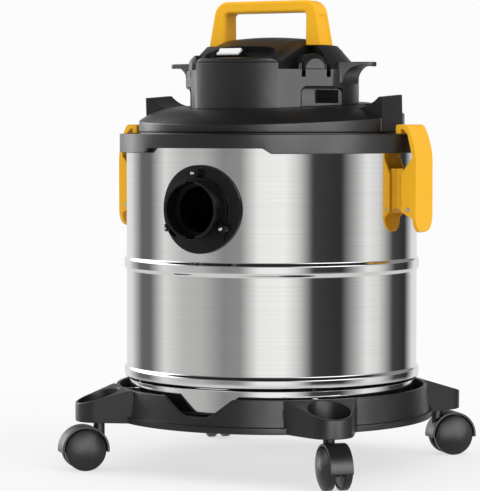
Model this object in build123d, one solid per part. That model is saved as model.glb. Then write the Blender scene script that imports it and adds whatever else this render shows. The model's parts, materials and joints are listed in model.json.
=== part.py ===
from build123d import *
import os
from math import cos, radians, sin, sqrt, tan

# Sizes in millimetres. The origin is on the floor under the drum's axis, -Y is the front, +Z is up.

# Fits
running_fit = 0.05
loose_fit = 0.3
side_play = 0.5

# Twin-wheel casters
caster_count = 4
wheel_radius = 21.0
wheel_width = 12.5
wheel_dome = 5.5
wheel_edge = 0.8
wheel_spacing = 9.0
hood_gap = 1.2
hood_wall = 2.4
caster_trail = 16.0
axle_radius = 3.0
axle_depth = 8.5
caster_neck_radius = 5.75
stem_radius = 4.0
stem_head_step = 1.8
stem_head_height = 2.0

# Wheeled base
arm_lift = 4.4
base_height = 33.0
base_wall = 3.5
base_gap = 7.5
base_flare = 2.5
skirt_height = 6.5
skirt_step = 3.0
base_floor_rise = 14.0
base_floor_wall = 4.0
base_hole_radius = 70.0
base_rib_count = 8
base_rib_wall = 3.0
arm_reach = 23.0
arm_root_half = 38.0
arm_tip_height = 18.5
arm_wall = 3.0
socket_radius = 21.0
socket_step = 5.5
socket_step_rise = 11.5
socket_floor = 6.0
hub_wall = 3.5
hub_rise = 9.0
notch_half = 38.0
notch_floor_half = 13.0
notch_depth = 19.5
notch_round = 30.0

# Steel drum
tank_radius = 150.0
tank_wall = 1.0
tank_height = 270.0
tank_foot_inset = 2.5
bead_height = 2.4
bead_half = 7.4
bead_flat = 3.2
bead_round = 2.2
low_bead_rise = 33.0
floor_seam_rise = 8.0
floor_corner = 4.0
rim_lip = 2.5
rim_lip_height = 3.0

# Hose inlet
inlet_drop = 66.4
inlet_flange_radius = 43.5
inlet_flange_wall = 3.5
inlet_gasket_wall = 1.0
inlet_tube_radius = 28.75
inlet_tube_reach = 22.0
inlet_bore_radius = 26.0
inlet_bore_depth = 20.0
inlet_throat_radius = 23.0
inlet_collar_step = 3.0
inlet_collar_height = 3.0
inlet_key_width = 9.0
inlet_key_depth = 1.4
inlet_bead_gap = 8.2
peg_circle_radius = 35.6
peg_radius = 4.0
peg_length = 9.0
peg_count = 3
screw_radius = 2.0
screw_tip_length = 5.5
screw_head_step = 2.0
screw_head_height = 2.4
elbow_wall = 2.5
elbow_run = 8.0
elbow_bend_radius = 28.0

# Lid
seal_height = 4.0
seal_width = 6.0
lid_wall = 3.0
lid_overhang = 7.0
band_height = 19.0
band_relief = 5.3
band_relief_half = 64.0
band_relief_slant = 7.5
lid_step_inset = 20.0
lid_groove = 2.0
lid_tilt = 3.0
dome_height = 29.5
dome_margin = 5.0
dome_drop = 16.0
tower_half = 24.0
tower_height = 9.0
tower_wall = 4.5
scoop_depth = 2.5
scoop_center_inset = 31.0
motor_hole_gap = 5.0

# Latches
latch_half = 21.0
latch_cheek = 3.0
latch_web = 4.0
latch_reach = 22.0
latch_top_rise = 9.5
latch_hook_inset = 7.0
latch_hook_lip = 5.0
latch_bow = 10.0
latch_bow_height = 39.0
latch_tail = 23.0
latch_pin_drop = 75.4
latch_pin_radius = 2.0
latch_lug_radius = 4.4
latch_cheek_depth = 16.0
latch_cheek_top = 52.0
latch_toe_round = 17.0
bracket_plate = 7.0
bracket_lift = 5.0
bracket_top = 41.0
rivet_radius = 2.4
rivet_head = 2.0
rivet_spacing = 18.0

# Motor head
head_radius = 90.0
head_wall = 3.0
head_height = 35.5
panel_start = 32.0
panel_end = 70.0
bridge_half = 47.0
bridge_step = 6.5
shoulder_rise = 25.0
shoulder_run = 22.0
ledge_end_gap = 4.6
boss_offset = 41.0
boss_radius = 15.5
boss_taper = 5.0
boss_setback = 1.5
slot_width = 3.6
slot_drop = 7.5
vent_start = 26.0
vent_width = 48.0
vent_height = 16.5
vent_depth = 10.0
vent_lip = 1.6
vent_round = 5.0
slat_count = 6
slat_wall = 1.6
slat_depth = 2.5
slat_field = 24.0
hook_reach = 28.0
hook_root_half = 20.0
hook_tip_radius = 10.0
hook_wall = 4.5
hook_gusset = 17.0
hook_lift = 3.1
gland_radius = 7.0
gland_bore_radius = 3.6
gland_length = 18.0
gland_rise = 16.0

# Top cover, switch and handle
deck_front_rise = 0.8
deck_front_crown = 0.75
deck_ramp_setback = 31.0
deck_ramp_rise = 13.0
deck_ramp_crown = 2.5
deck_brow_front = 25.0
deck_brow_drop = 1.0
deck_crest_rear = 13.5
deck_edge_rise = 24.5
deck_crown = 2.0
deck_round = 10.0
deck_round_fullness = 0.3
recess_length = 78.0
recess_width = 31.0
recess_depth = 8.0
recess_setback = 21.0
recess_rise = 10.8
recess_slope = 27.0
switch_length = 28.0
switch_width = 15.0
switch_height = 8.0
switch_offset = 12.0
switch_rim = 1.5
switch_body_depth = 12.0
rocker_rise = 2.4
rocker_edge = 0.8
rocker_angle = 8.0
rocker_pin_radius = 1.2
handle_top_half = 57.0
handle_base_half = 65.5
handle_inner_half = 46.5
handle_rise = 46.0
handle_bar = 12.0
handle_base_depth = 28.0
handle_top_depth = 26.0
handle_offset = -2.5
handle_corner = 15.0
handle_inner_corner = 4.0
handle_edge = 3.0
handle_panel_inset = 6.0
handle_panel_depth = 1.0
handle_screw_depth = 12.0
handle_screw_half = 8.0

# Motor, fans and filter
pot_depth = 17.0
plate_radius_gap = 6.0
plate_wall = 3.0
plate_screw_count = 6
shroud_radius = 62.0
shroud_height = 28.0
shroud_wall = 1.5
intake_radius = 24.0
motor_radius = 46.0
motor_height = 49.0
motor_wall = 2.0
shaft_radius = 4.0
bearing_radius = 11.0
bearing_height = 7.0
impeller_radius = 55.0
impeller_height = 16.0
impeller_gap = 4.0
impeller_disc = 1.2
impeller_blades = 7
impeller_sweep = 40.0
blade_wall = 1.5
fan_radius = 30.0
fan_height = 8.0
fan_hub_radius = 9.0
fan_blades = 9
cage_radius = 42.0
cage_height = 66.0
cage_wall = 2.5
cage_slots = 10
cage_slot_width = 14.0
float_radius = 30.0
float_height = 24.0
filter_radius = 68.0
filter_fold = 7.0
filter_folds = 24
filter_cap_height = 6.0
retainer_radius = 50.0
retainer_wall = 4.0
knob_radius = 14.0
knob_height = 12.0
knob_stud_radius = 3.0

# Heights that the sizes above add up to
axle_z = wheel_radius
hood_radius = wheel_radius + hood_gap + hood_wall
base_z = axle_z + hood_radius + arm_lift
base_top_z = base_z + base_height
tank_z = base_z + base_floor_rise
rim_z = tank_z + tank_height
ledge_z = rim_z + seal_height + lid_wall
dome_z = ledge_z + dome_height
inlet_z = rim_z - inlet_drop
low_bead_z = tank_z + low_bead_rise
mid_bead_z = inlet_z - inlet_flange_radius - inlet_bead_gap - bead_half
pin_z = ledge_z - latch_pin_drop
drum_top_z = dome_z + head_height
seam_z = drum_top_z + bridge_step
recess_center = head_radius - recess_setback
deck_ramp_front = head_radius - deck_ramp_setback
shoulder_z = drum_top_z + shoulder_rise
pot_z = rim_z + seal_height - plate_wall - pot_depth
shroud_z = pot_z + plate_wall
motor_z = shroud_z + shroud_height
motor_top_z = motor_z + motor_height

# Radii that the sizes above add up to
base_radius = tank_radius + base_gap + base_wall
arm_radius = base_radius + arm_reach
arm_tip_radius = socket_radius + arm_wall
foot_radius = tank_radius - tank_foot_inset
band_radius = tank_radius + lid_overhang
step_radius = band_radius - lid_step_inset
flange_face = tank_radius + inlet_gasket_wall + inlet_flange_wall
inlet_front = tank_radius + inlet_tube_reach
pin_x = tank_radius + latch_reach - latch_web - latch_lug_radius - side_play
cap_top_z = pot_z
cap_bottom_z = pot_z - cage_height


def disc(radius, bottom, top):
    return Pos(0, 0, bottom) * extrude(Circle(radius), top - bottom)


def tube(outer, inner, bottom, top):
    return Pos(0, 0, bottom) * extrude(Circle(outer) - Circle(inner), top - bottom)


def block(low, high):
    size = [b - a for a, b in zip(low, high)]
    middle = [(a + b) / 2 for a, b in zip(low, high)]
    return Pos(*middle) * Box(*size)


def turned(*curves):
    return revolve(Plane.XZ * make_face(Curve() + list(curves)), Axis.Z)


def across(outline, half):
    return extrude(Plane.XZ * make_face(outline), half, both=True)


def both_sides(right):
    return right + mirror(right, about=Plane.YZ)


def around(shape, count, start=0.0):
    return [Rot(Z=start + 360 * i / count) * shape for i in range(count)]


def front_rod(radius, near, far, x, z):
    # A rod along Y between two distances in front of the drum's axis
    return Pos(x, -near, z) * Rot(X=90) * extrude(Circle(radius), far - near)


def lid_frame():
    # The lid's top is a plane that rises towards the rear
    return Pos(0, 0, dome_z) * Rot(X=lid_tilt)


def save(name, shape):
    solids = shape.solids()
    export_step(solids[0] if len(solids) == 1 else Compound(children=list(solids)), f"parts/{name}.step")


# Casters, with the stem on the local Z axis and the wheels trailing along local +X
def caster_wheel():
    inner = wheel_spacing / 2
    outer = inner + wheel_width
    shoulder = outer - wheel_dome
    bore = axle_radius + running_fit
    depth = inner + axle_depth + loose_fit
    rim = [(bore, inner), (wheel_radius - wheel_edge, inner), (wheel_radius, inner + wheel_edge),
           (wheel_radius, shoulder)]
    back = [(0, outer), (0, depth), (bore, depth), (bore, inner)]
    crown = TangentArc((0, outer), (wheel_radius, shoulder), tangent=(1, 0))
    wheel = turned(Polyline(*rim), crown, Polyline(*back))
    return Pos(caster_trail, 0, axle_z) * Rot(X=-90) * wheel


def caster_hood():
    half = wheel_spacing / 2 + wheel_width - wheel_dome
    web = wheel_spacing / 2 - side_play
    clear = wheel_radius + hood_gap
    cross = Plane.XZ * Pos(caster_trail, axle_z)
    shell = extrude(cross * (Circle(hood_radius) - Circle(clear)), half, both=True)
    plate = extrude(cross * Circle(hood_radius), web, both=True)
    upper = block((-2 * hood_radius, -half, axle_z - hood_wall), (3 * hood_radius, half, base_z))
    neck = disc(caster_neck_radius, axle_z, base_z - loose_fit)
    neck -= extrude(cross * Circle(clear), half, both=True)
    hub = extrude(cross * Circle(axle_radius + 2 * hood_wall), web, both=True)
    hood = ((shell + plate) & upper) + neck + hub
    hood -= extrude(cross * Circle(axle_radius), half, both=True)
    return hood - disc(stem_radius, stem_foot_z(), base_top_z)


def stem_foot_z():
    return axle_z + sqrt(hood_radius ** 2 - caster_trail ** 2)


def caster_axle():
    half = wheel_spacing / 2 + axle_depth
    return extrude(Plane.XZ * Pos(caster_trail, axle_z) * Circle(axle_radius), half, both=True)


def caster_stem():
    top = base_z + hub_rise + loose_fit
    head = disc(stem_radius + stem_head_step, top, top + stem_head_height)
    return disc(stem_radius, stem_foot_z(), top) + head


# Wheeled base
def base_arm():
    tip = Pos(arm_radius, 0) * Circle(arm_tip_radius)
    root = Pos(base_radius - base_gap, 0) * Rectangle(base_gap, 2 * arm_root_half)
    plan = make_hull(tip.edges() + root.edges())
    end = arm_radius + arm_tip_radius
    inner = base_radius - base_wall
    slope = Polyline((inner, base_z), (end, base_z), (end, base_z + arm_tip_height),
                     (base_radius, base_top_z), (inner, base_top_z), close=True)
    return (Pos(0, 0, base_z) * extrude(plan, base_height)) & across(slope, arm_root_half)


def arm_socket():
    step_z = base_z + socket_step_rise
    floor_z = base_z + socket_floor
    cup = disc(socket_radius, step_z, base_top_z) + disc(socket_radius - socket_step, floor_z, base_top_z)
    cup -= disc(stem_radius + hub_wall, base_z, base_z + hub_rise)
    return Pos(arm_radius, 0, 0) * (cup + disc(stem_radius + running_fit, base_z, base_top_z))


def dolly_base():
    inner = base_radius - base_wall
    flare = base_radius + base_flare
    skirt = flare + skirt_step
    skirt_z = base_z + skirt_height
    ring = turned(Polyline((inner, base_z), (skirt, base_z), (skirt, skirt_z), (flare, skirt_z),
                           (base_radius, base_top_z), (inner, base_top_z), close=True))
    floor = tube(inner, base_hole_radius, tank_z - base_floor_wall, tank_z)
    hub = tube(base_hole_radius + base_rib_wall, base_hole_radius, base_z, tank_z)
    rib = block((base_hole_radius + base_rib_wall / 2, -base_rib_wall / 2, base_z),
                (inner, base_rib_wall / 2, tank_z))
    stop = block((foot_radius + loose_fit, -base_rib_wall, tank_z - base_floor_wall),
                 (inner, base_rib_wall, low_bead_z - 2 * bead_half))
    diagonal = 180 / caster_count
    base = ring + floor + hub + around(rib, base_rib_count) + around(stop, caster_count, diagonal)
    base += around(base_arm(), caster_count, diagonal)
    base -= around(arm_socket(), caster_count, diagonal)
    low = base_top_z - notch_depth
    mouth = Polyline((-notch_half, base_top_z), (-notch_half, base_top_z + base_wall),
                     (notch_half, base_top_z + base_wall), (notch_half, base_top_z))
    scoop = FilletPolyline((notch_half, base_top_z), (notch_floor_half, low), (-notch_floor_half, low),
                           (-notch_half, base_top_z), radius=notch_round)
    notch = extrude(Plane.XZ * make_face(Curve() + [mouth, scoop]), skirt)
    return base - (Pos(0, -foot_radius + bead_half, 0) * notch)


# Steel drum
def drum_side(offset):
    foot = foot_radius - offset
    side = tank_radius - offset
    crest = side + bead_height
    return [(foot, tank_z + floor_seam_rise), (foot, low_bead_z - bead_half), (crest, low_bead_z - bead_flat),
            (crest, low_bead_z + bead_flat), (side, low_bead_z + bead_half), (side, mid_bead_z - bead_half),
            (crest, mid_bead_z - bead_flat), (crest, mid_bead_z + bead_flat), (side, mid_bead_z + bead_half),
            (side, rim_z)]


def tank_drum():
    outer = drum_side(0)
    inner = drum_side(tank_wall)
    wall = turned(FilletPolyline(*outer, radius=bead_round), Line(outer[-1], inner[-1]),
                  FilletPolyline(*reversed(inner), radius=bead_round), Line(inner[0], outer[0]))
    wall += tube(tank_radius + rim_lip, tank_radius - tank_wall, rim_z - rim_lip_height, rim_z)
    wall -= front_rod(inlet_tube_radius + loose_fit, 0, inlet_front, 0, inlet_z)
    wall -= [front_rod(screw_radius + running_fit, 0, inlet_front, x, z) for x, z in peg_points()]
    return wall - rivet_rods(rivet_radius)


def tank_floor():
    top = tank_z + floor_seam_rise
    outer = FilletPolyline((0, tank_z), (foot_radius, tank_z), (foot_radius, top), radius=floor_corner)
    inner = FilletPolyline((foot_radius - tank_wall, top), (foot_radius - tank_wall, tank_z + tank_wall),
                           (0, tank_z + tank_wall), radius=floor_corner - tank_wall)
    return turned(outer, Line((foot_radius, top), (foot_radius - tank_wall, top)), inner,
                  Line((0, tank_z + tank_wall), (0, tank_z)))


# Hose inlet
def peg_points():
    angles = [radians(90 + 360 * i / peg_count) for i in range(peg_count)]
    return [(peg_circle_radius * cos(a), inlet_z + peg_circle_radius * sin(a)) for a in angles]


def saddle(radius, inner, outer):
    # A round patch of a sheet that lies round the drum
    sheet = tube(outer, inner, inlet_z - 2 * radius, inlet_z + 2 * radius)
    return front_rod(radius, 0, 2 * outer, 0, inlet_z) & sheet


def inlet_port():
    back = tank_radius + inlet_gasket_wall
    port = saddle(inlet_flange_radius, back, flange_face)
    port += front_rod(inlet_tube_radius, tank_radius - tank_wall, inlet_front, 0, inlet_z)
    collar = inlet_tube_radius + inlet_collar_step
    port += front_rod(collar, back, flange_face + inlet_collar_height, 0, inlet_z)
    for x, z in peg_points():
        port += front_rod(peg_radius, back, flange_face + peg_length, x, z)
    trim = disc(back, inlet_z - 2 * inlet_flange_radius, inlet_z + 2 * inlet_flange_radius)
    tail = front_rod(inlet_tube_radius, 0, inlet_front, 0, inlet_z)
    port -= trim - tail
    step = inlet_front - inlet_bore_depth
    port -= front_rod(inlet_bore_radius, step, inlet_front, 0, inlet_z)
    port -= front_rod(inlet_throat_radius, 0, inlet_front, 0, inlet_z)
    key = inlet_bore_radius + inlet_key_depth
    half = inlet_key_width / 2
    port -= block((-half, -inlet_front, inlet_z - key), (half, -step, inlet_z + key))
    return port - [front_rod(screw_radius, 0, inlet_front, x, z) for x, z in peg_points()]


def inlet_gasket():
    gasket = saddle(inlet_flange_radius - inlet_gasket_wall, tank_radius, tank_radius + inlet_gasket_wall)
    gasket -= front_rod(inlet_tube_radius + loose_fit, 0, inlet_front, 0, inlet_z)
    return gasket - [front_rod(screw_radius + running_fit, 0, inlet_front, x, z) for x, z in peg_points()]


def inlet_elbow():
    inside = tank_radius - tank_wall
    pipe = inlet_throat_radius + elbow_wall
    elbow = saddle(inlet_flange_radius, inside - elbow_wall, inside)
    start = inside - elbow_run
    elbow += front_rod(pipe, start, inside, 0, inlet_z) - tube(2 * inside, inside, 0, 2 * inlet_z)
    section = Plane.XZ.offset(start) * Pos(0, inlet_z)
    hinge = Axis((0, -start, inlet_z - elbow_bend_radius), (1, 0, 0))
    elbow += revolve(section * Circle(pipe), hinge, -90)
    elbow -= front_rod(inlet_throat_radius, start, 2 * inside, 0, inlet_z)
    elbow -= revolve(section * Circle(inlet_throat_radius), hinge, -90)
    return elbow - [front_rod(screw_radius + running_fit, 0, inlet_front, x, z) for x, z in peg_points()]


def inlet_screws():
    tip = flange_face + peg_length + screw_tip_length
    screws = []
    for x, z in peg_points():
        wide = screw_radius + screw_head_step
        seat = sqrt((tank_radius - tank_wall - elbow_wall) ** 2 - (abs(x) + wide) ** 2)
        head = front_rod(wide, seat - screw_head_height, seat, x, z)
        nose = Pos(x, -tip + screw_radius, z) * Sphere(screw_radius)
        screws.append(front_rod(screw_radius, seat, tip - screw_radius, x, z) + head + nose)
    return Compound(children=screws)


# Latches, drawn on the +X side
def rivet_rods(radius):
    reach = tank_radius + bracket_plate
    rod = Rot(Y=90) * extrude(Circle(radius), reach + rivet_head)
    rods = [Pos(0, y, rivet_z()) * rod for y in (-rivet_spacing / 2, rivet_spacing / 2)]
    return rods + [Rot(Z=180) * r for r in rods]


def rivet_z():
    return pin_z + bracket_top - 4 * rivet_radius


def latch_bracket():
    half = latch_half - latch_cheek - side_play
    near = tank_radius - bracket_plate
    far = tank_radius + bracket_plate
    low = pin_z + bracket_lift
    lug = Pos(pin_x, pin_z) * Circle(latch_lug_radius)
    high = low + bracket_plate
    root = Polyline((near, low), (far, low), (far, high), (near, high), close=True)
    bracket = across(make_hull(lug.edges() + root.edges()).wire(), half)
    bracket += block((near, -half, low), (far, half, pin_z + bracket_top))
    bracket -= disc(tank_radius, 0, ledge_z)
    bracket -= rivet_rods(rivet_radius)
    return bracket - extrude(Plane.XZ * Pos(pin_x, pin_z) * Circle(latch_pin_radius), latch_half, both=True)


def latch_rivets():
    inside = tank_radius - tank_wall
    outside = tank_radius + bracket_plate
    rivets = []
    for y in (-rivet_spacing / 2, rivet_spacing / 2):
        seat = sqrt(inside ** 2 - (abs(y) + 2 * rivet_radius) ** 2)
        shank = Pos(seat, y, rivet_z()) * Rot(Y=90) * extrude(Circle(rivet_radius), outside - seat)
        flat = Rot(Y=90) * extrude(Circle(2 * rivet_radius), rivet_head)
        rivet = shank + Pos(seat - rivet_head, y, rivet_z()) * flat + Pos(outside, y, rivet_z()) * flat
        rivets += [rivet, Rot(Z=180) * rivet]
    return Compound(children=rivets)


def latch_lever():
    face = tank_radius + latch_reach
    back = face - latch_web
    cheek = face - latch_cheek_depth
    tip = band_radius - latch_hook_inset
    top = ledge_z + latch_top_rise
    under = ledge_z + latch_hook_lip
    bottom = pin_z - latch_tail
    heel = pin_z - 2 * latch_lug_radius
    bend_z = top - latch_bow_height
    bow_radius = (latch_bow_height ** 2 + latch_bow ** 2) / (2 * latch_bow)
    lean = back - bow_radius + sqrt(bow_radius ** 2 - (under - latch_hook_lip - bend_z) ** 2)
    brow = face - latch_bow
    hook = FilletPolyline((tip, under), (tip, top), (brow, top), radius=latch_hook_lip / 2)
    bow = TangentArc((face, bend_z), (brow, top), tangent=(0, 1))
    toe = FilletPolyline((face, bend_z), (face, bottom), (back, bottom), radius=latch_web - side_play)
    inner = Polyline((back, bottom), (back, heel), (cheek, pin_z - latch_lug_radius / 2),
                     (cheek, pin_z + latch_cheek_top - latch_cheek_depth), (back, pin_z + latch_cheek_top),
                     (lean, under - latch_hook_lip), (lean - latch_hook_lip, under),
                     (tip + latch_hook_lip, under), (tip + latch_hook_lip, ledge_z + loose_fit),
                     (tip, ledge_z + loose_fit), (tip, under))
    lever = across(Curve() + [hook, bow, toe, inner], latch_half)
    corner = Vector(brow, 0, top)
    crown = [e for e in lever.edges() if (e.center() - corner).length < loose_fit]
    lever = fillet(crown, latch_hook_lip)
    front = FilletPolyline((-latch_half, top), (latch_half, top), (latch_half, bottom), (-latch_half, bottom),
                           close=True, radius=(0, 0, latch_toe_round, latch_toe_round))
    lever &= extrude(Plane.YZ * make_face(front), face)
    hollow = latch_half - latch_cheek
    lever -= block((tip, -hollow, bottom), (back, hollow, pin_z + latch_cheek_top))
    pin = Plane.XZ * Pos(pin_x, pin_z) * Circle(latch_pin_radius + running_fit)
    return lever - extrude(pin, latch_half, both=True)


def latch_pins():
    pin = extrude(Plane.XZ * Pos(pin_x, pin_z) * Circle(latch_pin_radius), latch_half + side_play, both=True)
    return Compound(children=[pin, Rot(Z=180) * pin])


# Lid
def dome_cap(drop, radius):
    # The domed top in the lid's tilted frame, lowered by a wall where it is the inside
    flat = head_radius + dome_margin
    reach = step_radius + dome_margin
    crown = TangentArc((flat, -drop), (reach, -dome_drop - drop), tangent=(1, 0))
    deep = -2 * dome_height - drop
    cap = turned(Polyline((0, deep), (0, -drop), (flat, -drop)), crown,
                 Polyline((reach, -dome_drop - drop), (reach, deep), (0, deep)))
    return (lid_frame() * cap) & disc(radius, ledge_z - lid_wall, dome_z + dome_height)


def tower():
    face = step_radius
    low = -2 * dome_drop
    body = block((head_radius + dome_margin, -tower_half, low), (face, tower_half, tower_height))
    center = face - scoop_center_inset
    rise = tower_height + scoop_depth
    run = face - tower_wall - center
    radius = (run ** 2 + rise ** 2) / (2 * rise)
    scoop = extrude(Plane.XZ * Pos(center, radius - scoop_depth) * Circle(radius), tower_half, both=True)
    return body, scoop


def lid():
    under = ledge_z - lid_wall
    body, scoop = [lid_frame() * shape for shape in tower()]
    body &= disc(band_radius, under, dome_z + dome_height)
    shell = dome_cap(0, step_radius) + both_sides(body) - both_sides(scoop)
    shell -= dome_cap(lid_wall, step_radius - lid_wall)
    hole = motor_radius + motor_hole_gap
    shell -= disc(hole, under, dome_z + dome_height)
    rim = tube(band_radius, step_radius - 2 * lid_wall, under, ledge_z)
    rim += tube(band_radius, band_radius - lid_wall, ledge_z - band_height, ledge_z)
    groove = tube(band_radius, step_radius - lid_groove / 2, ledge_z, ledge_z + lid_groove)
    relief_z = ledge_z - band_height
    outer = band_relief_half + band_relief_slant
    relief = Polyline((-outer, relief_z - lid_wall), (outer, relief_z - lid_wall), (outer, relief_z),
                      (band_relief_half, relief_z + band_relief), (-band_relief_half, relief_z + band_relief),
                      (-outer, relief_z), close=True)
    lid_shape = shell + rim - groove - extrude(Plane.XZ * make_face(relief), 2 * band_radius)
    return lid_shape - plate_screw_rods(screw_radius)


def lid_seal():
    middle = tank_radius - tank_wall / 2
    return tube(middle + seal_width / 2, middle - seal_width / 2, rim_z, rim_z + seal_height)


def plate_radius():
    return tank_radius - tank_wall - plate_radius_gap


def plate_screw_points():
    circle = (plate_radius() + step_radius - 2 * lid_wall) / 2
    angles = [radians(360 * (i + 0.5) / plate_screw_count) for i in range(plate_screw_count)]
    return [(circle * cos(a), circle * sin(a)) for a in angles]


def plate_screw_rods(radius):
    top = ledge_z - lid_wall / 3
    bottom = rim_z + seal_height - 2 * plate_wall
    return [Pos(x, y, 0) * disc(radius, bottom, top) for x, y in plate_screw_points()]


def plate_screws():
    low = rim_z + seal_height - plate_wall
    top = ledge_z - lid_wall / 3
    shank = disc(screw_radius, low, top)
    head = disc(screw_radius + screw_head_step, low - screw_head_height, low)
    return Compound(children=[Pos(x, y, 0) * (shank + head) for x, y in plate_screw_points()])


def motor_plate():
    top = rim_z + seal_height
    low = top - plate_wall
    pot = shroud_radius + plate_wall
    plate = tube(plate_radius(), pot - plate_wall / 2, low, top)
    plate += tube(pot, shroud_radius + loose_fit, pot_z, top)
    plate += tube(pot, intake_radius, pot_z, pot_z + plate_wall)
    return plate - plate_screw_rods(screw_radius)


# Motor head
def panel_plane():
    # Flat panel on the +X side: local x runs along it from its front corner, local y is up
    start = radians(panel_start)
    middle = radians((panel_start + panel_end) / 2)
    corner = (head_radius * sin(start), -head_radius * cos(start), 0)
    return Plane(corner, x_dir=(cos(middle), sin(middle), 0), z_dir=(sin(middle), -cos(middle), 0))


def panel_length():
    return 2 * head_radius * sin(radians((panel_end - panel_start) / 2))


def lid_cut():
    reach = 2 * head_radius
    return lid_frame() * block((-reach, -reach, -2 * dome_height), (reach, reach, 0))


def beyond_panel(depth):
    # What lies outside the flat panel moved inward by a depth
    reach = head_radius
    far = panel_length() + reach
    return panel_plane() * block((-reach, dome_z - dome_height, -depth), (far, seam_z + shoulder_rise, reach))


def vent_block(grow, depth):
    low = dome_z - dome_height
    height = vent_height + dome_height + grow
    shape = Pos(vent_start + vent_width / 2, low + height / 2) * RectangleRounded(
        vent_width + 2 * grow, height, vent_round + grow)
    return panel_plane() * (Pos(0, 0, -depth) * extrude(shape, depth + head_radius / 4))


def shoulder_right():
    apex = head_radius - shoulder_run
    cone = turned(Polyline((0, drum_top_z), (head_radius, drum_top_z), (apex, shoulder_z), (0, shoulder_z),
                           close=True))
    ledge = panel_length() - ledge_end_gap
    front = block((-head_radius, drum_top_z, -2 * head_radius), (ledge, shoulder_z, head_radius))
    cone -= panel_plane() * front
    nose = Pos(0, 0, -boss_taper / 2) * Cone(boss_radius, boss_radius - boss_taper, boss_taper)
    body = Pos(0, 0, -boss_taper) * extrude(Circle(boss_radius), -head_radius / 2)
    cone += panel_plane() * Pos(boss_offset, drum_top_z, -boss_setback) * (nose + body)
    return cone & block((bridge_half, -head_radius, drum_top_z), (head_radius, head_radius, shoulder_z))


def cord_hook():
    # Flat horn with a hollow-curved gusset beneath it
    tip = head_radius + hook_reach
    root = head_radius - 2 * head_wall
    top = drum_top_z + hook_lift + hook_wall
    under = top - hook_wall
    low = under - hook_gusset
    end = tip - hook_wall
    plan = make_hull((Pos(tip - hook_tip_radius, 0) * Circle(hook_tip_radius)).edges()
                     + (Pos(root, 0) * Rectangle(2 * head_wall, 2 * hook_root_half)).edges())
    curve = TangentArc((head_radius, low), (end, under), tangent=(0, 1))
    back = Polyline((end, under), (tip, under), (tip, top), (root, top), (root, low), (head_radius, low))
    return (Pos(0, 0, low) * extrude(plan, top - low)) & across(Curve() + [back, curve], hook_root_half)


def handle_screw_points():
    x = (handle_base_half + handle_inner_half) / 2
    return [(s * x, handle_offset + y) for s in (-1, 1) for y in (-handle_screw_half, handle_screw_half)]


def motor_housing():
    inside = head_radius - head_wall
    ceiling = drum_top_z - head_wall
    low = dome_z - dome_height
    drum = disc(head_radius, low, drum_top_z)
    bridge = block((-bridge_half, -head_radius, low), (bridge_half, head_radius, seam_z))
    drum += disc(head_radius, drum_top_z, seam_z) & bridge
    drum -= both_sides(beyond_panel(0))
    drum += both_sides(shoulder_right() + cord_hook())
    cavity = disc(inside, low, ceiling) - both_sides(beyond_panel(head_wall))
    cavity -= both_sides(vent_block(head_wall, vent_depth + head_wall))
    well = bridge_half - head_wall
    cavity += disc(inside, ceiling, seam_z) & block((-well, -inside, ceiling), (well, inside, seam_z))
    drum -= cavity
    drum -= both_sides(vent_block(0, vent_depth)) + both_sides(vent_block(vent_lip, vent_lip))
    for offset in (-boss_radius + slot_width / 2, boss_radius - slot_width / 2):
        slot = block((boss_offset + offset - slot_width / 2, drum_top_z - slot_drop, -3 * head_wall),
                     (boss_offset + offset + slot_width / 2, drum_top_z + bridge_step, head_wall))
        drum -= both_sides(panel_plane() * slot)
    drum -= lid_cut()
    drum -= [Pos(x, y, 0) * disc(screw_radius, ceiling, shoulder_z) for x, y in handle_screw_points()]
    return drum - front_rod(gland_radius, -2 * head_radius, 0, 0, gland_z())


def exhaust_grille():
    # Louvre insert on the floor of the vent
    back = -vent_depth
    right = vent_start + vent_width - vent_round
    left = right - slat_field
    low = dome_z + vent_lip
    top = dome_z + vent_height - vent_lip
    pitch = (slat_field - slat_wall) / (slat_count - 1)
    comb = block((left, low, back), (right, top, back + slat_wall))
    for i in range(slat_count):
        x = left + i * pitch
        comb += block((x, low, back), (x + slat_wall, top, back + slat_depth))
    return panel_plane() * comb - lid_cut()


def gland_z():
    return dome_z + gland_rise + head_radius * tan(radians(lid_tilt))


def cord_gland():
    z = gland_z()
    inner = head_radius - 2 * head_wall
    body = front_rod(gland_radius, -(inner + gland_length), -inner, 0, z)
    collar = front_rod(gland_radius + head_wall / 2, -(inner + head_wall / 2), -(inner - head_wall), 0, z)
    gland = body + (collar & disc(head_radius - head_wall, 0, seam_z))
    return gland - front_rod(gland_bore_radius, -2 * head_radius, 0, 0, z)


# Top cover
def deck_section(y, edge, crown, half, floor):
    drop = min(deck_round, edge - floor - loose_fit)
    run = half - deck_round
    lean = deck_round * deck_round_fullness
    bend = edge - drop * deck_round_fullness
    sides = [Polyline((-half, edge - drop), (-half, floor), (half, floor), (half, edge - drop)),
             ThreePointArc((half, edge - drop), (half - lean, bend), (run, edge)),
             ThreePointArc((run, edge), (0, crown), (-run, edge)),
             ThreePointArc((-run, edge), (-half + lean, bend), (-half, edge - drop))]
    return Plane.XZ.offset(-y) * make_face(Curve() + sides)


def deck(inset):
    half = bridge_half - inset
    floor = seam_z - deck_round
    reach = head_radius + dome_margin
    brow = deck_edge_rise - deck_brow_drop
    stations = [(-reach, deck_front_rise, deck_front_crown),
                (-deck_ramp_front, deck_ramp_rise, deck_ramp_crown),
                (-deck_brow_front, brow, deck_crown),
                (deck_crest_rear, deck_edge_rise, deck_crown),
                (reach, brow, deck_ramp_crown)]
    faces = []
    for y, rise, crown in stations:
        edge = seam_z + rise - inset
        faces.append(deck_section(y, edge, edge + crown, half, floor))
    return loft(faces)


def recess_frame():
    # The floor of the switch recess: local x runs across, local y up the slope
    return Pos(0, -recess_center, seam_z + recess_rise) * Rot(X=recess_slope) * Pos(0, 0, -recess_depth)


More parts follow.
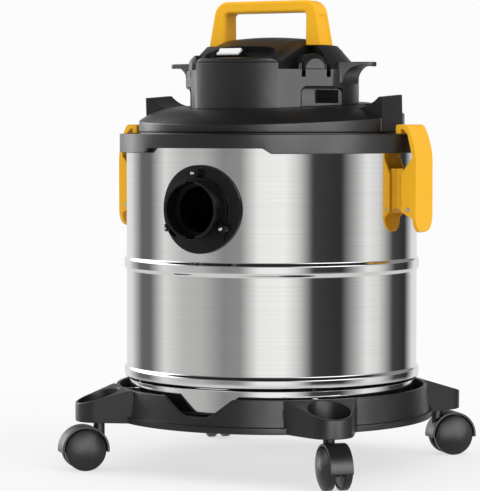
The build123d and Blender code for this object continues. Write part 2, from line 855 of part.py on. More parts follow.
def top_cover():
    high = shoulder_z + head_radius
    shell = deck(0) & disc(head_radius, seam_z, high)
    shell &= block((-bridge_half, -head_radius, seam_z), (bridge_half, head_radius, high))
    cavity = deck(head_wall) & disc(head_radius - head_wall, seam_z - head_wall, high)
    slot = SlotOverall(recess_length + 2 * head_wall, recess_width + 2 * head_wall)
    pocket = recess_frame() * Pos(0, 0, -head_wall) * extrude(slot, 4 * recess_depth)
    shell -= cavity - pocket
    shell += pocket & deck(0) & disc(head_radius - head_wall - loose_fit, drum_top_z, seam_z + head_wall)
    shell -= recess_frame() * extrude(SlotOverall(recess_length, recess_width), 4 * recess_depth)
    return shell - recess_frame() * switch_body(loose_fit)


def switch_body(grow):
    x = (switch_length - switch_rim) / 2 + grow
    y = (switch_width - switch_rim) / 2 + grow
    return block((-switch_offset - x, -y, -switch_body_depth), (-switch_offset + x, y, switch_rim))


def switch_housing():
    x = switch_length / 2
    y = switch_width / 2
    frame = block((-switch_offset - x, -y, 0), (-switch_offset + x, y, switch_height)) + switch_body(0)
    inner_x = x - switch_rim
    inner_y = y - switch_rim
    frame -= block((-switch_offset - inner_x, -inner_y, 0), (-switch_offset + inner_x, inner_y, switch_height))
    return recess_frame() * (frame - rocker_pin(running_fit))


def rocker_pin(grow):
    length = switch_length - switch_rim
    rod = extrude(Plane.YZ * Circle(rocker_pin_radius + grow), length / 2, both=True)
    return Pos(-switch_offset, 0, switch_height / 2) * rod


def switch_rocker():
    x = switch_length / 2 - switch_rim - loose_fit
    y = switch_width / 2 - switch_rim - loose_fit - sin(radians(rocker_angle)) * switch_height / 2
    top = switch_height / 2 + rocker_rise
    low = -switch_height / 2 + y * tan(radians(rocker_angle)) + loose_fit
    dip = top - rocker_rise / 2
    ridge = y - rocker_edge
    outline = Polyline((-y, low), (y, low), (y, dip), (ridge, top), (0, dip), (-ridge, top), (-y, dip),
                       close=True)
    body = extrude(Plane.YZ * make_face(outline), x, both=True)
    tilted = Pos(-switch_offset, 0, switch_height / 2) * Rot(X=rocker_angle) * body
    return recess_frame() * (tilted + rocker_pin(0))


# Carrying handle
def carry_handle():
    top = shoulder_z + handle_rise
    bar = top - handle_bar
    rounds = (0, 0, handle_corner, handle_corner, 0, 0, handle_inner_corner, handle_inner_corner)
    outline = FilletPolyline((handle_inner_half, shoulder_z), (handle_base_half, shoulder_z),
                             (handle_top_half, top), (-handle_top_half, top),
                             (-handle_base_half, shoulder_z), (-handle_inner_half, shoulder_z),
                             (-handle_inner_half, bar), (handle_inner_half, bar), close=True, radius=rounds)
    frame = across(outline, handle_base_depth)
    low = handle_base_depth / 2
    high = handle_top_depth / 2
    side = Polyline((-low, shoulder_z), (low, shoulder_z), (high, top), (-high, top), close=True)
    frame &= extrude(Plane.YZ * make_face(side), handle_base_half, both=True)
    foot_z = shoulder_z + handle_edge
    arches = [e for e in frame.edges() if abs(e.center().Y) > high - handle_edge and e.center().Z > foot_z]
    frame = fillet(arches, handle_edge)
    lean = (handle_base_half - handle_top_half) / handle_rise
    panel = handle_top_depth - 2 * handle_panel_inset
    low_z = shoulder_z + handle_panel_inset / 2
    high_z = top - handle_corner
    x_low = handle_base_half - lean * (low_z - shoulder_z) - handle_panel_depth
    x_high = handle_base_half - lean * (high_z - shoulder_z) - handle_panel_depth
    dish = Polyline((x_low, low_z), (x_low + handle_bar, low_z), (x_high + handle_bar, high_z),
                    (x_high, high_z), close=True)
    frame -= both_sides(across(dish, panel / 2))
    frame = Pos(0, handle_offset, 0) * frame
    return frame - [Pos(x, y, 0) * disc(screw_radius, shoulder_z, shoulder_z + handle_screw_depth)
                    for x, y in handle_screw_points()]


def handle_screws():
    ceiling = drum_top_z - head_wall
    shank = disc(screw_radius, ceiling, shoulder_z + handle_screw_depth)
    head = disc(screw_radius + screw_head_step, ceiling - screw_head_height, ceiling)
    return Compound(children=[Pos(x, y, 0) * (shank + head) for x, y in handle_screw_points()])


# Motor and fans
def fan_shroud():
    top = motor_z
    can = disc(shroud_radius, shroud_z, top) - disc(shroud_radius - shroud_wall, shroud_z, top - shroud_wall)
    can += tube(shroud_radius, intake_radius, shroud_z, shroud_z + shroud_wall)
    return can - disc(shaft_radius + side_play, shroud_z, top)


def motor_can():
    low = motor_z
    bore = bearing_radius
    top = motor_top_z
    low_seat = low + bearing_height
    top_seat = top - bearing_height
    can = disc(motor_radius, low, top) - disc(motor_radius - motor_wall, low + motor_wall, top - motor_wall)
    can += disc(bore + motor_wall, low, low_seat) + disc(bore + motor_wall, top_seat, top)
    can -= disc(bore, low + motor_wall, low_seat) + disc(bore, top_seat, top - motor_wall)
    return can - disc(bore - motor_wall, low, top)


def motor_bearings():
    ring = tube(bearing_radius, shaft_radius + running_fit, 0, bearing_height - motor_wall)
    low = Pos(0, 0, motor_z + motor_wall) * ring
    high = Pos(0, 0, motor_top_z - bearing_height) * ring
    return Compound(children=[low, high])


def impeller_z():
    return shroud_z + shroud_wall + impeller_gap


def fan_z():
    return motor_top_z + impeller_gap


def motor_shaft():
    return disc(shaft_radius, impeller_z(), fan_z() + fan_height)


def impeller():
    low = impeller_z()
    top = low + impeller_height
    wheel = disc(impeller_radius, top - impeller_disc, top)
    wheel += tube(impeller_radius, intake_radius, low, low + impeller_disc)
    wheel += disc(fan_hub_radius, low, top)
    reach = impeller_radius - blade_wall
    sweep = radians(impeller_sweep)
    tip = (reach * cos(sweep), reach * sin(sweep))
    path = RadiusArc((fan_hub_radius - blade_wall, 0), tip, impeller_radius)
    blade = Pos(0, 0, low) * extrude(trace(path, blade_wall), impeller_height)
    wheel += around(blade, impeller_blades)
    return wheel - disc(shaft_radius, low, top)


def cooling_fan():
    low = fan_z()
    fan = disc(fan_hub_radius, low, low + fan_height)
    blade = block((0, -blade_wall / 2, 0), (fan_radius, blade_wall / 2, fan_height))
    fan += [Pos(0, 0, low) * b for b in around(blade, fan_blades)]
    fan += disc(fan_radius, low, low + impeller_disc)
    return fan - disc(shaft_radius, low, low + fan_height)


# Filter
def filter_cage():
    inner = cage_radius - cage_wall
    cage = disc(cage_radius, cap_bottom_z, cap_top_z) - disc(inner, cap_bottom_z + cage_wall, cap_top_z)
    cage += tube(cage_radius + cage_wall, inner, cap_top_z - cage_wall, cap_top_z)
    slot = block((0, -cage_slot_width / 2, cap_bottom_z + 3 * cage_wall),
                 (2 * cage_radius, cage_slot_width / 2, cap_top_z - 3 * cage_wall))
    cage -= around(slot, cage_slots)
    return cage - disc(knob_stud_radius, cap_bottom_z, cap_bottom_z + cage_wall)


def float_cup():
    low = cap_bottom_z + cage_wall + loose_fit
    cup = disc(float_radius, low, low + float_height)
    return cup - disc(float_radius - cage_wall, low, low + float_height - cage_wall)


def cap_ring(bottom, top):
    return tube(filter_radius + cage_wall, cage_radius + loose_fit, bottom, top)


def filter_top_cap():
    return cap_ring(cap_top_z - cage_wall - filter_cap_height, cap_top_z - cage_wall)


def filter_bottom_cap():
    return cap_ring(cap_bottom_z, cap_bottom_z + filter_cap_height)


def filter_pleats():
    points = []
    for i in range(2 * filter_folds):
        radius = filter_radius - (i % 2) * filter_fold
        angle = radians(180 * i / filter_folds)
        points.append((radius * cos(angle), radius * sin(angle)))
    pleats = make_face(Polyline(*points, close=True)) - Circle(cage_radius + cage_wall)
    low = cap_bottom_z + filter_cap_height
    return Pos(0, 0, low) * extrude(pleats, cap_top_z - cage_wall - filter_cap_height - low)


def filter_retainer():
    plate = disc(retainer_radius, cap_bottom_z - retainer_wall, cap_bottom_z)
    plate += disc(knob_radius, cap_bottom_z - retainer_wall - knob_height, cap_bottom_z)
    return plate + disc(knob_stud_radius, cap_bottom_z, cap_bottom_z + cage_wall)


os.makedirs("parts", exist_ok=True)

fixed_pieces = [
    dolly_base, tank_drum, tank_floor, inlet_port, inlet_gasket, inlet_elbow, inlet_screws, latch_rivets,
    latch_pins, lid, lid_seal, motor_plate, plate_screws, motor_housing, cord_gland, top_cover, switch_housing,
    switch_rocker, carry_handle, handle_screws, fan_shroud, motor_can, motor_bearings, motor_shaft, impeller,
    cooling_fan, filter_cage, float_cup, filter_top_cap, filter_bottom_cap, filter_pleats, filter_retainer,
]
for piece in fixed_pieces:
    save(piece.__name__, piece())

for name, turn in (("right", 0), ("left", 180)):
    save(f"latch_bracket_{name}", Rot(Z=turn) * latch_bracket())
    save(f"latch_lever_{name}", Rot(Z=turn) * latch_lever())
save("exhaust_grille_right", exhaust_grille())
save("exhaust_grille_left", mirror(exhaust_grille(), about=Plane.YZ))

corners = ("rear_right", "rear_left", "front_left", "front_right")
for i, corner in enumerate(corners):
    place = Rot(Z=180 / caster_count + 360 * i / caster_count) * Pos(arm_radius, 0, 0)
    save(f"caster_hood_{corner}", place * caster_hood())
    save(f"caster_stem_{corner}", place * caster_stem())
    save(f"caster_axle_{corner}", place * caster_axle())
    save(f"wheel_a_{corner}", place * caster_wheel())
    save(f"wheel_b_{corner}", place * mirror(caster_wheel(), about=Plane.XZ))
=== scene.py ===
import bpy
import json
import math
from mathutils import Matrix

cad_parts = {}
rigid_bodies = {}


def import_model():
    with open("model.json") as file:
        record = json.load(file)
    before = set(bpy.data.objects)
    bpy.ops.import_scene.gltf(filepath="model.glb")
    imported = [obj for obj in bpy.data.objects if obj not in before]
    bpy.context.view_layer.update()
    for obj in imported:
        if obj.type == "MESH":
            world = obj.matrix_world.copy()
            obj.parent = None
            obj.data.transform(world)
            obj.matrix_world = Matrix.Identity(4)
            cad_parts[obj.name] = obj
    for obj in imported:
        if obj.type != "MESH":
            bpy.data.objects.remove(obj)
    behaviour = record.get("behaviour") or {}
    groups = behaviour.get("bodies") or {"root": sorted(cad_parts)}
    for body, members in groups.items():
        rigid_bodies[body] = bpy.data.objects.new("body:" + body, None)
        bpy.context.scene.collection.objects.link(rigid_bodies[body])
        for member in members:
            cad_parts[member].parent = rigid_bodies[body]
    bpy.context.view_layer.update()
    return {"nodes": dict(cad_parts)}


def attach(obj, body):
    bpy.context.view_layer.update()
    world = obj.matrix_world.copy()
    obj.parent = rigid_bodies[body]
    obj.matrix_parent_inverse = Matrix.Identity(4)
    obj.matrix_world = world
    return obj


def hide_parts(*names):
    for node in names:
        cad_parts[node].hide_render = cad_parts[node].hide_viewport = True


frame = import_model()
print("frame loaded:", len(frame["nodes"]), "nodes")

corners = ("rear_right", "rear_left", "front_left", "front_right")
weld = {"node": 0.000002, "rings": 0.000005, "flatAngle": 0.4}  # merge distances in metres, angle in degrees

# helpers for modelling


def clearSelection():
    if bpy.context.object and bpy.context.object.mode != "OBJECT":
        bpy.ops.object.mode_set(mode="OBJECT")
    bpy.ops.object.select_all(action="DESELECT")


def makeActive(piece):
    clearSelection()
    bpy.context.view_layer.objects.active = piece
    piece.select_set(True)


def editAll(piece):
    makeActive(piece)
    bpy.ops.object.mode_set(mode="EDIT")
    bpy.ops.mesh.select_all(action="SELECT")


def leaveEdit():
    bpy.ops.object.mode_set(mode="OBJECT")


def smooth(piece, angle):
    makeActive(piece)
    bpy.ops.object.shade_smooth_by_angle(angle=math.radians(angle))


def applyModifiers(piece):
    makeActive(piece)
    for modifier in list(piece.modifiers):
        bpy.ops.object.modifier_apply(modifier=modifier.name)


def roundEdges(piece, width, segments=2, angle=30):
    bevel = piece.modifiers.new("edges", "BEVEL")
    bevel.width = width
    bevel.segments = segments
    bevel.limit_method = "ANGLE"
    bevel.angle_limit = math.radians(angle)
    bevel.use_clamp_overlap = False
    applyModifiers(piece)


def keepFlats(piece, weight=50):
    # large faces hold their own direction, so the light breaks at the rounded edges
    flats = piece.modifiers.new("flats", "WEIGHTED_NORMAL")
    flats.keep_sharp = True
    flats.weight = weight
    applyModifiers(piece)


def dress(piece, body, slot, material, *nodes):
    piece.data.materials.clear()
    piece.data.materials.append(material)
    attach(piece, body)
    if nodes:
        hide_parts(*nodes)


def takeNode(node, name):
    # a merged copy of a CAD node, ready to be finished
    clearSelection()
    piece = bpy.data.objects.new(name, frame["nodes"][node].data.copy())
    bpy.context.collection.objects.link(piece)
    editAll(piece)
    bpy.ops.mesh.remove_doubles(threshold=weld["node"])
    bpy.ops.mesh.customdata_custom_splitnormals_clear()
    bpy.ops.mesh.dissolve_limited(angle_limit=math.radians(weld["flatAngle"]))
    leaveEdit()
    return piece


def ringUp(name, profile, count):
    # a turned piece: a circle is drawn up ring by ring through (radius, height)
    clearSelection()
    radius, height = profile[0]
    bpy.ops.mesh.primitive_circle_add(vertices=count, radius=radius, location=(0, 0, 0))
    piece = bpy.context.object
    piece.name = name
    bpy.ops.object.mode_set(mode="EDIT")
    bpy.ops.mesh.select_all(action="SELECT")
    bpy.ops.transform.translate(value=(0, 0, height))
    for nextRadius, nextHeight in profile[1:]:
        lift = {"value": (0, 0, nextHeight - height)}
        bpy.ops.mesh.extrude_edges_move(TRANSFORM_OT_translate=lift)
        grow = nextRadius / radius
        bpy.ops.transform.resize(value=(grow, grow, 1), center_override=(0, 0, nextHeight))
        radius, height = nextRadius, nextHeight
    return piece


def closeRings():
    # joins rings that meet, caps what is still open and turns the faces outwards
    bpy.ops.mesh.select_all(action="SELECT")
    bpy.ops.mesh.remove_doubles(threshold=weld["rings"])
    bpy.ops.mesh.fill_holes(sides=0)
    bpy.ops.mesh.select_all(action="SELECT")
    bpy.ops.mesh.normals_make_consistent(inside=False)
    leaveEdit()


def put(piece, place):
    # moves the mesh itself, so the object stays at the origin
    piece.matrix_world = place
    makeActive(piece)
    bpy.ops.object.transform_apply(location=True, rotation=True, scale=True)


def cutAway(piece, cutter):
    cut = piece.modifiers.new("cut", "BOOLEAN")
    cut.operation = "DIFFERENCE"
    cut.solver = "EXACT"
    cut.object = cutter
    applyModifiers(piece)
    bpy.data.objects.remove(cutter, do_unlink=True)


# shared effects


def newGroup(name, inputs, outputs):
    group = bpy.data.node_groups.new(name, "ShaderNodeTree")
    for label, kind, value in inputs:
        socket = group.interface.new_socket(name=label, in_out="INPUT", socket_type=kind)
        if value is not None:
            socket.default_value = value
    for label, kind in outputs:
        group.interface.new_socket(name=label, in_out="OUTPUT", socket_type=kind)
    return group, group.nodes.new("NodeGroupInput"), group.nodes.new("NodeGroupOutput")


def addNoise(tree, vector, scale, detail=2.0, rough=0.5):
    noise = tree.nodes.new("ShaderNodeTexNoise")
    noise.inputs["Detail"].default_value = detail
    noise.inputs["Roughness"].default_value = rough
    tree.links.new(vector, noise.inputs["Vector"])
    if isinstance(scale, (int, float)):
        noise.inputs["Scale"].default_value = scale
    else:
        tree.links.new(scale, noise.inputs["Scale"])
    return noise.outputs["Fac"]


def addMath(tree, operation, first, second):
    node = tree.nodes.new("ShaderNodeMath")
    node.operation = operation
    for socket, value in zip(node.inputs, (first, second)):
        if isinstance(value, (int, float)):
            socket.default_value = value
        else:
            tree.links.new(value, socket)
    return node.outputs[0]


def addRange(tree, value, low, high, toLow, toHigh):
    node = tree.nodes.new("ShaderNodeMapRange")
    tree.links.new(value, node.inputs["Value"])
    ends = {"From Min": low, "From Max": high, "To Min": toLow, "To Max": toHigh}
    for label, number in ends.items():
        if isinstance(number, (int, float)):
            node.inputs[label].default_value = number
        else:
            tree.links.new(number, node.inputs[label])
    return node.outputs["Result"]


def addMix(tree, factor, first, second, blend="MIX"):
    node = tree.nodes.new("ShaderNodeMix")
    node.data_type = "RGBA"
    node.blend_type = blend
    # inputs 0, 6 and 7 are the factor and the two colours
    for place, value in ((0, factor), (6, first), (7, second)):
        if isinstance(value, (int, float, tuple)):
            node.inputs[place].default_value = value
        else:
            tree.links.new(value, node.inputs[place])
    return node.outputs[2]


white = (1.0, 1.0, 1.0, 1.0)
skinLook = {"slow": 11.0, "speck": 260.0, "speckEdge": (0.66, 0.78), "rubbed": 24.0, "spread": (0.3, 0.7)}
markLook = {"round": 5.0, "smear": 16.0, "smearShare": 0.6, "lineEdge": (0.35, 0.65), "spread": (0.5, 1.1),
            "dark": (0.32, 0.32, 0.31, 1.0)}


def buildMouldedSkin(look):
    # fine spark-eroded grain, slow colour drift and patches of handling shine
    group, given, out = newGroup(
        "mouldedSkin",
        [("Vector", "NodeSocketVector", None), ("Color", "NodeSocketColor", (0.1, 0.1, 0.1, 1)),
         ("Drift", "NodeSocketFloat", 0.1), ("Grain", "NodeSocketFloat", 1500.0),
         ("Rough", "NodeSocketFloat", 0.45), ("Shine", "NodeSocketFloat", 0.08)],
        [("Color", "NodeSocketColor"), ("Roughness", "NodeSocketFloat"), ("Height", "NodeSocketFloat")])
    place = given.outputs["Vector"]
    slow = addNoise(group, place, look["slow"], 3.0)
    fine = addNoise(group, place, given.outputs["Grain"], 2.0)
    speck = addNoise(group, place, look["speck"], 2.0)
    shade = addRange(group, slow, *look["spread"], 0.0, given.outputs["Drift"])
    pale = addMix(group, shade, given.outputs["Color"], white)
    fleck = addRange(group, speck, *look["speckEdge"], 0.0, given.outputs["Drift"])
    group.links.new(addMix(group, fleck, pale, white), out.inputs["Color"])
    rubbed = addNoise(group, place, look["rubbed"], 4.0, 0.6)
    spread = addRange(group, rubbed, *look["spread"], -1.0, 1.0)
    rough = addMath(group, "MULTIPLY", spread, given.outputs["Shine"])
    group.links.new(addMath(group, "ADD", rough, given.outputs["Rough"]), out.inputs["Roughness"])
    group.links.new(fine, out.inputs["Height"])
    return group


def buildRollMarks(look):
    # lines that run round a turned or rolled sheet, with faint hand smears
    group, given, out = newGroup(
        "rollMarks",
        [("Vector", "NodeSocketVector", None), ("Color", "NodeSocketColor", (0.7, 0.7, 0.7, 1)),
         ("Lines", "NodeSocketFloat", 900.0), ("Rough", "NodeSocketFloat", 0.2),
         ("Spread", "NodeSocketFloat", 0.05), ("Depth", "NodeSocketFloat", 0.12)],
        [("Color", "NodeSocketColor"), ("Roughness", "NodeSocketFloat"), ("Height", "NodeSocketFloat")])
    split = group.nodes.new("ShaderNodeSeparateXYZ")
    group.links.new(given.outputs["Vector"], split.inputs[0])
    join = group.nodes.new("ShaderNodeCombineXYZ")
    for axis, stretch in (("X", look["round"]), ("Y", look["round"]), ("Z", given.outputs["Lines"])):
        group.links.new(addMath(group, "MULTIPLY", split.outputs[axis], stretch), join.inputs[axis])
    lines = addNoise(group, join.outputs[0], 1.0, 4.0, 0.65)
    smear = addNoise(group, given.outputs["Vector"], look["smear"], 4.0, 0.6)
    dark = addRange(group, lines, *look["lineEdge"], 0.0, given.outputs["Depth"])
    group.links.new(addMix(group, dark, given.outputs["Color"], look["dark"]), out.inputs["Color"])
    both = addMath(group, "ADD", lines, addMath(group, "MULTIPLY", smear, look["smearShare"]))
    wide = addRange(group, both, *look["spread"], -1.0, 1.0)
    rough = addMath(group, "MULTIPLY", wide, given.outputs["Spread"])
    group.links.new(addMath(group, "ADD", rough, given.outputs["Rough"]), out.inputs["Roughness"])
    group.links.new(lines, out.inputs["Height"])
    return group


mouldedSkin = buildMouldedSkin(skinLook)
rollMarks = buildRollMarks(markLook)
print("shared effects built")


def makeMaterial(name, group, values, shader, bump):
    material = bpy.data.materials.new(name)
    material.use_nodes = True
    tree = material.node_tree
    surface = tree.nodes["Principled BSDF"]
    for label, value in shader.items():
        surface.inputs[label].default_value = value
    effect = tree.nodes.new("ShaderNodeGroup")
    effect.node_tree = group
    for label, value in values.items():
        effect.inputs[label].default_value = value
    where = tree.nodes.new("ShaderNodeTexCoord")
    tree.links.new(where.outputs["Object"], effect.inputs["Vector"])
    tree.links.new(effect.outputs["Color"], surface.inputs["Base Color"])
    tree.links.new(effect.outputs["Roughness"], surface.inputs["Roughness"])
    relief = tree.nodes.new("ShaderNodeBump")
    relief.inputs["Strength"].default_value = bump[0]
    relief.inputs["Distance"].default_value = bump[1]
    tree.links.new(effect.outputs["Height"], relief.inputs["Height"])
    tree.links.new(relief.outputs["Normal"], surface.inputs["Normal"])
    return material


def skin(name, color, rough, drift=0.01, shine=0.06, grain=1500.0, bump=(0.12, 0.0004), **shader):
    values = {"Color": (*color, 1), "Drift": drift, "Grain": grain, "Rough": rough, "Shine": shine}
    return makeMaterial(name, mouldedSkin, values, shader, bump)


def rolled(name, color, rough, lines=900.0, spread=0.05, depth=0.12, bump=(0.05, 0.0002), **shader):
    values = {"Color": (*color, 1), "Lines": lines, "Rough": rough, "Spread": spread, "Depth": depth}
    return makeMaterial(name, rollMarks, values, {"Metallic": 1.0, **shader}, bump)


dull = {"Specular IOR Level": 0.3}
satin = {"Specular IOR Level": 0.42}
even = {"Specular IOR Level": 0.38}
soft = {"Specular IOR Level": 0.1}
finishes = {
    "charcoal": skin("charcoalMoulding", (0.0088, 0.0090, 0.0094), 0.37, drift=0.004, **satin),
    "baseCharcoal": skin("baseMoulding", (0.0100, 0.0102, 0.0106), 0.36, drift=0.004, **even),
    "lidCharcoal": skin("lidMoulding", (0.0082, 0.0084, 0.0088), 0.36, drift=0.004, **satin),
    "black": skin("blackMoulding", (0.0040, 0.0040, 0.0043), 0.26, drift=0.003, **dull),
    "amber": skin("amberMoulding", (0.94, 0.480, 0.018), 0.40, drift=0.012, grain=1100.0,
                  bump=(0.05, 0.0003), **soft),
    "white": skin("rockerMoulding", (0.86, 0.86, 0.85), 0.28, drift=0.04, bump=(0.03, 0.0002)),
    "wheel": skin("wheelMoulding", (0.016, 0.016, 0.017), 0.34, drift=0.006, **dull),
    "rubber": skin("sealRubber", (0.012, 0.012, 0.012), 0.62, drift=0.01, grain=700.0, **dull),
    "paper": skin("filterPaper", (0.78, 0.76, 0.70), 0.85, drift=0.15, grain=420.0,
                  bump=(0.4, 0.0006)),
    "float": skin("floatMoulding", (0.75, 0.74, 0.70), 0.35, drift=0.04),
    "paint": skin("motorPaint", (0.10, 0.10, 0.11), 0.42, drift=0.03, grain=600.0),
    "steel": rolled("drumSteel", (0.86, 0.855, 0.845), 0.085, spread=0.025, depth=0.10),
    "bright": rolled("fastenerSteel", (0.80, 0.80, 0.80), 0.14, lines=2500.0, spread=0.04),
    "darkSteel": rolled("blackedSteel", (0.10, 0.10, 0.10), 0.36, lines=2500.0, spread=0.05),
    "aluminium": rolled("fanSheet", (0.66, 0.67, 0.68), 0.30, lines=1400.0, spread=0.06),
}
print("finishes:", len(finishes))

# steel drum, drawn up from its foot through two rolled beads to the rim
drumPlan = {"foot": 0.1475, "side": 0.150, "wall": 0.001, "low": 0.072, "rim": 0.334, "lip": 0.0025,
            "lipDepth": 0.003, "beadHeight": 0.0024, "beadHalf": 0.0074, "beadFlat": 0.0032,
            "guard": 0.0006, "beads": (0.097, 0.2085), "count": 256, "steps": 8, "smooth": 50,
            "inletHeight": 0.2676, "inletRadius": 0.0290, "inletCount": 96, "cutDepth": 0.1}


def beadRings(middle, below, above, plan):
    # a flat-topped ridge with eased slopes
    # a guard ring at each end keeps the shading of the wall straight
    crest = above + plan["beadHeight"]
    slope = plan["beadHalf"] - plan["beadFlat"]
    rise = [(below, middle - plan["beadHalf"] - plan["guard"])]
    fall = []
    for step in range(plan["steps"] + 1):
        part = step / plan["steps"]
        ease = 0.5 - 0.5 * math.cos(math.pi * part)
        rise.append((below + (crest - below) * ease, middle - plan["beadHalf"] + slope * part))
        fall.append((crest + (above - crest) * ease, middle + plan["beadFlat"] + slope * part))
    return rise + fall + [(above, middle + plan["beadHalf"] + plan["guard"])]


def makeDrum(plan):
    lower, upper = plan["beads"]
    lip = plan["side"] + plan["lip"]
    inside = plan["side"] - plan["wall"]
    rings = [(plan["foot"], plan["low"])]
    rings += beadRings(lower, plan["foot"], plan["side"], plan)
    rings += beadRings(upper, plan["side"], plan["side"], plan)
    under = plan["rim"] - plan["lipDepth"]
    rings += [(plan["side"], under - plan["guard"]), (plan["side"], under), (lip, under),
              (lip, plan["rim"]), (inside, plan["rim"])]
    inner = beadRings(lower, plan["foot"], plan["side"], plan)
    inner += beadRings(upper, plan["side"], plan["side"], plan)
    rings += [(radius - plan["wall"], height) for radius, height in reversed(inner)]
    rings += [(plan["foot"] - plan["wall"], plan["low"]), (plan["foot"], plan["low"])]
    drum = ringUp("steelDrum", rings, plan["count"])
    closeRings()
    clearSelection()
    bpy.ops.mesh.primitive_cylinder_add(
        vertices=plan["inletCount"], radius=plan["inletRadius"], depth=plan["cutDepth"],
        location=(0, -plan["side"], plan["inletHeight"]), rotation=(math.pi / 2, 0, 0))
    cutAway(drum, bpy.context.object)
    smooth(drum, plan["smooth"])
    dress(drum, "machine", "stainless", finishes["steel"], "tank_drum")


makeDrum(drumPlan)
print("drum made")

# caster wheels: a flat inner face, a narrow tread and a domed outer face
wheelPlan = {"radius": 0.021, "inner": 0.0045, "outer": 0.017, "dome": 0.0055, "edge": 0.0009, "edgeEase": 0.3,
             "bore": 0.0031, "boreDepth": 0.0088, "hubRadius": 0.0062, "hubDrop": 0.0008, "rimWidth": 0.0024,
             "rimSlope": 0.0006, "treadEnd": 0.0006, "cornerIn": (0.0003, 0.0010), "cornerUp": 0.0004,
             "pole": 0.00001, "count": 96, "steps": 14, "smooth": 40, "armRadius": 0.184, "trail": 0.016,
             "firstTurn": 45, "nextTurn": 90}


def wheelRings(plan):
    radius, inner, outer = plan["radius"], plan["inner"], plan["outer"]
    shoulder = outer - plan["dome"]
    edge, hub, rim = plan["edge"], plan["hubRadius"], radius - plan["rimWidth"]
    floor, ease = inner + plan["hubDrop"], edge * plan["edgeEase"]
    near, far = plan["cornerIn"]
    rings = [(plan["bore"], inner + plan["boreDepth"]), (plan["bore"], inner), (hub, inner), (hub, floor),
             (rim - plan["rimSlope"], floor), (rim, inner), (radius - edge, inner),
             (radius - ease, inner + ease), (radius, inner + edge), (radius, shoulder - plan["treadEnd"]),
             (radius - near, shoulder), (radius - far, shoulder + plan["cornerUp"])]
    bow = (radius ** 2 + plan["dome"] ** 2) / (2 * plan["dome"])
    for step in range(1, plan["steps"]):
        across = (radius - far) * (1 - step / plan["steps"])
        rings.append((across, outer - bow + math.sqrt(bow ** 2 - across ** 2)))
    rings.append((plan["pole"], outer))
    return rings


def makeWheel(corner, turn, side, plan):
    node = f"wheel_{side}_{corner}"
    wheel = ringUp(f"{node}_tread", wheelRings(plan), plan["count"])
    closeRings()
    tip = math.radians(-90 if side == "a" else 90)
    axle = Matrix.Translation((plan["armRadius"] + plan["trail"], 0, plan["radius"]))
    put(wheel, Matrix.Rotation(turn, 4, "Z") @ axle @ Matrix.Rotation(tip, 4, "X"))
    smooth(wheel, plan["smooth"])
    dress(wheel, f"{node}_body", "wheel_plastic", finishes["wheel"], node)


for index, corner in enumerate(corners):
    armTurn = math.radians(wheelPlan["firstTurn"] + wheelPlan["nextTurn"] * index)
    for side in "ab":
        makeWheel(corner, armTurn, side, wheelPlan)
print("wheels made")

# mouldings and pressings that keep the CAD form and get rounded, polished edges
mouldings = {
    "dolly_base": {"name": "rollingBase", "edge": 0.0009, "slot": "charcoal_plastic", "finish": "baseCharcoal"},
    "inlet_port": {"name": "hoseInlet", "edge": 0.0005, "slot": "black_plastic", "finish": "black"},
    "latch_bracket_right": {"name": "latchBracketRight", "edge": 0.0005,
                            "slot": "amber_plastic", "finish": "amber"},
    "latch_bracket_left": {"name": "latchBracketLeft", "edge": 0.0005,
                           "slot": "amber_plastic", "finish": "amber"},
    "lid": {"name": "lidShell", "edge": 0.0008, "slot": "charcoal_plastic", "finish": "lidCharcoal"},
    "motor_housing": {"name": "motorHead", "edge": 0.0008, "slot": "charcoal_plastic", "finish": "charcoal"},
    "top_cover": {"name": "topCover", "edge": 0.0008, "slot": "charcoal_plastic", "finish": "charcoal"},
    "carry_handle": {"name": "carryHandle", "edge": 0.0006, "slot": "amber_plastic", "finish": "amber"},
    "cord_gland": {"name": "cordGland", "edge": 0.0006, "slot": "seal_rubber", "finish": "rubber"},
    "switch_housing": {"name": "switchFrame", "edge": 0.0004, "slot": "black_plastic", "finish": "black"},
    "exhaust_grille_right": {"name": "exhaustGrilleRight", "edge": 0.0003,
                             "slot": "black_plastic", "finish": "black"},
    "exhaust_grille_left": {"name": "exhaustGrilleLeft", "edge": 0.0003,
                            "slot": "black_plastic", "finish": "black"},
    "latch_rivets": {"name": "latchRivets", "edge": 0.0004, "slot": "fastener_steel", "finish": "bright"},
    "latch_pins": {"name": "latchPins", "edge": 0.0003, "slot": "fastener_steel", "finish": "bright"},
    "inlet_screws": {"name": "inletStuds", "edge": 0.0002, "slot": "fastener_steel", "finish": "bright"},
}
moving = {
    "latch_lever_right": {"name": "latchLeverRight", "body": "right_latch", "edge": 0.0004,
                          "slot": "amber_plastic", "finish": "amber"},
    "latch_lever_left": {"name": "latchLeverLeft", "body": "left_latch", "edge": 0.0004,
                         "slot": "amber_plastic", "finish": "amber"},
    "switch_rocker": {"name": "switchRocker", "body": "power_rocker", "edge": 0.0004,
                      "slot": "white_plastic", "finish": "white"},
}
for corner in corners:
    moving[f"caster_hood_{corner}"] = {"name": f"casterHood_{corner}", "body": f"caster_{corner}",
                                       "edge": 0.0006, "slot": "charcoal_plastic", "finish": "baseCharcoal"}
creaseAngle = 38  # degrees from which an edge stays sharp


def finishMoulding(node, plan):
    piece = takeNode(node, plan["name"])
    roundEdges(piece, plan["edge"])
    smooth(piece, creaseAngle)
    keepFlats(piece)
    dress(piece, plan.get("body", "machine"), plan["slot"], finishes[plan["finish"]], node)


for node, plan in {**mouldings, **moving}.items():
    finishMoulding(node, plan)
print("mouldings finished:", len(mouldings) + len(moving))

